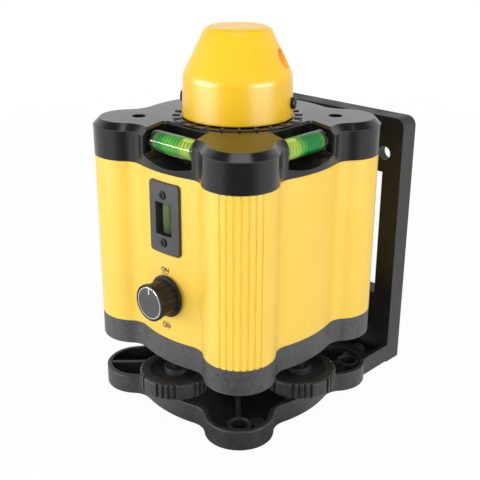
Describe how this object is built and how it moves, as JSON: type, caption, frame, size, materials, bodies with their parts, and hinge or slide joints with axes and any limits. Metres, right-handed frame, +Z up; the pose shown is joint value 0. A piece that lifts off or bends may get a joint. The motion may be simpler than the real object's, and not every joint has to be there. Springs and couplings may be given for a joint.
{
  "type": "rotary laser level",
  "caption": "Self-standing rotary laser level: spinning beam dome on a lobed yellow body that tilts on a base with levelling wheels and a wall bracket.",
  "frame": {"origin": "mouth of the tripod thread on the rotor axis, in the plane the feet stand on", "axes": "+Z up along the rotor axis, -Y towards the knob and plumb window, +Y towards the wall bracket, +X towards the side levelling wheel"},
  "size_m": [0.127, 0.1572, 0.205],
  "materials": {
    "black_plastic": "satin black moulding",
    "grainy_plastic": "matte dark grey moulding with a fine grain",
    "base_plastic": "matte black moulding with a fine grain",
    "yellow_shell": "satin yellow coating",
    "yellow_door": "satin yellow moulding",
    "yellow_dome": "semi-gloss orange-yellow moulding",
    "knob_black": "matte black grip",
    "knob_plate": "dark grey face with a bright edge",
    "vial_clear": "clear moulded vial",
    "vial_green": "green fluid",
    "window_orange": "orange filter glass",
    "prism_glass": "clear polished glass",
    "screw_black": "blackened steel",
    "screw_steel": "bright zinc",
    "pin_steel": "ground steel",
    "turned_brass": "turned brass",
    "cast_alloy": "cast alloy",
    "foot_rubber": "soft black rubber",
    "belt_rubber": "smooth rubber",
    "inner_plastic": "plain black moulding",
    "motor_can": "plated can",
    "board_green": "lacquered board",
    "contact_spring": "plated spring steel",
    "cell_wrap": "plain wrapped cells"
  },
  "bodies": {
    "base": {"base_tray": "base_plastic", "tripod_insert": "turned_brass", "base_feet": "foot_rubber", "wall_bracket": "base_plastic", "bracket_screws": "screw_steel", "pivot_post": "cast_alloy", "pivot_post_screws": "screw_steel"},
    "front_leveler": {"front_wheel": "base_plastic", "front_wheel_screw": "pin_steel"},
    "side_leveler": {"side_wheel": "base_plastic", "side_wheel_screw": "pin_steel"},
    "gimbal": {"gimbal_block": "cast_alloy", "gimbal_long_pin": "pin_steel", "gimbal_short_pins": "pin_steel"},
    "housing": {"pivot_yoke": "cast_alloy", "pivot_yoke_screws": "screw_steel", "bottom_cover": "grainy_plastic", "leveling_nuts": "turned_brass", "bottom_screws": "screw_black", "housing_shell": "yellow_shell", "top_cap": "black_plastic", "cap_screws": "screw_black", "dial_ring": "black_plastic", "front_vial": "vial_clear", "front_vial_fluid": "vial_green", "side_vial": "vial_clear", "side_vial_fluid": "vial_green", "plumb_bezel": "black_plastic", "bezel_screws": "screw_black", "plumb_vial": "vial_clear", "plumb_vial_fluid": "vial_green", "chassis": "cast_alloy", "chassis_screws": "screw_steel", "spindle_bearings": "pin_steel", "laser_mount": "cast_alloy", "laser_module": "turned_brass", "laser_lens": "prism_glass", "motor": "motor_can", "motor_screws": "screw_steel", "drive_belt": "belt_rubber", "circuit_board": "board_green", "speed_control": "inner_plastic", "pot_nut": "screw_steel", "battery_box": "inner_plastic", "battery_contacts": "contact_spring", "batteries": "cell_wrap"},
    "rotor": {"rotor_dome": "yellow_dome", "dome_screws": "screw_black", "prism_holder": "inner_plastic", "pentaprism": "prism_glass", "aperture_window": "window_orange", "spindle": "pin_steel", "driven_pulley": "cast_alloy"},
    "motor_drive": {"motor_shaft": "pin_steel", "motor_pulley": "cast_alloy"},
    "knob": {"power_knob": "knob_black", "knob_face": "knob_plate", "pot_shaft": "pin_steel"},
    "door": {"battery_door": "yellow_door", "door_pin": "pin_steel"}
  },
  "joints": [
    {"name": "front_wheel_turn", "type": "hinge", "parent": "base", "child": "front_leveler", "pos_m": [0, -0.0475, 0.0215], "axis": [0, 0, 1], "range_deg": [-700, 700]},
    {"name": "side_wheel_turn", "type": "hinge", "parent": "base", "child": "side_leveler", "pos_m": [0.0475, 0, 0.0215], "axis": [0, 0, 1], "range_deg": [-700, 700]},
    {"name": "front_tilt", "type": "hinge", "parent": "base", "child": "gimbal", "pos_m": [0, 0, 0.035], "axis": [1, 0, 0], "range_deg": [-2.95, 2.95]},
    {"name": "side_tilt", "type": "hinge", "parent": "gimbal", "child": "housing", "pos_m": [0, 0, 0.035], "axis": [0, 1, 0], "range_deg": [-2.95, 2.95]},
    {"name": "rotor_spin", "type": "hinge", "parent": "housing", "child": "rotor", "pos_m": [0, 0, 0.18], "axis": [0, 0, 1], "continuous": true},
    {"name": "motor_spin", "type": "hinge", "parent": "housing", "child": "motor_drive", "pos_m": [0, 0.029, 0.125], "axis": [0, 0, 1], "continuous": true},
    {"name": "knob_turn", "type": "hinge", "parent": "housing", "child": "knob", "pos_m": [0.003, -0.06, 0.0729], "axis": [0, 1, 0], "range_deg": [0, 180]},
    {"name": "door_swing", "type": "hinge", "parent": "housing", "child": "door", "pos_m": [-0.05114, 0.015, 0.08], "axis": [0, 0, -1], "range_deg": [0, 90]}
  ],
  "couplings": [
    {"joint": "front_tilt", "follows": "front_wheel_turn", "ratio": 0.0041883},
    {"joint": "side_tilt", "follows": "side_wheel_turn", "ratio": 0.0041883},
    {"joint": "motor_spin", "follows": "rotor_spin", "ratio": 3.5556}
  ]
}
